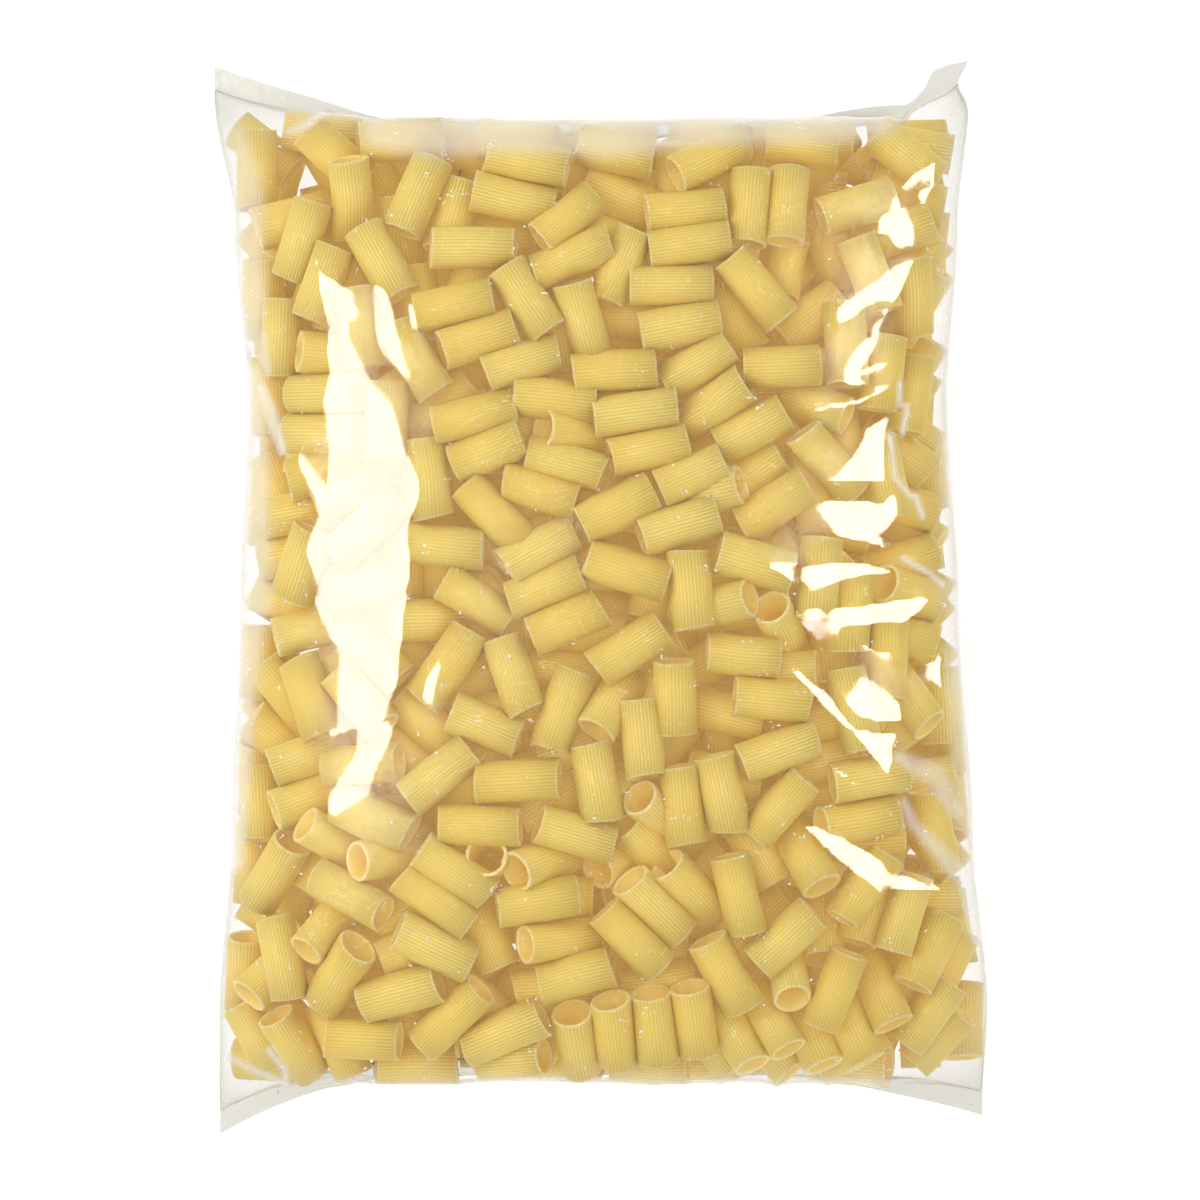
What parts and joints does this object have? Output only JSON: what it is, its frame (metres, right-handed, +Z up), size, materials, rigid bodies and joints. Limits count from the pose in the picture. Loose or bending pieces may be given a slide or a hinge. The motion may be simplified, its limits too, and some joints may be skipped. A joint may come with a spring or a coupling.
{
  "type": "pasta packet",
  "caption": "Clear sealed pillow bag full of short ribbed pasta tubes, lying on its back, with flat end seals and empty pointed corners.",
  "frame": {"origin": "middle of the bag's outline, on the surface that it lies on", "axes": "+Z up through the bag's shown face, +Y along the bag to the end with the gathered corner, +X to the right of the shown face"},
  "size_m": [0.303, 0.4214, 0.1071],
  "materials": {
    "packet": "clear glossy film over pale yellow dried pasta",
    "pasta": "matt dried pasta, ribbed, with pale dusty cut ends",
    "film": "thin clear glossy film with soft creases"
  },
  "bodies": {
    "root": {"packet": "packet"}
  },
  "joints": []
}
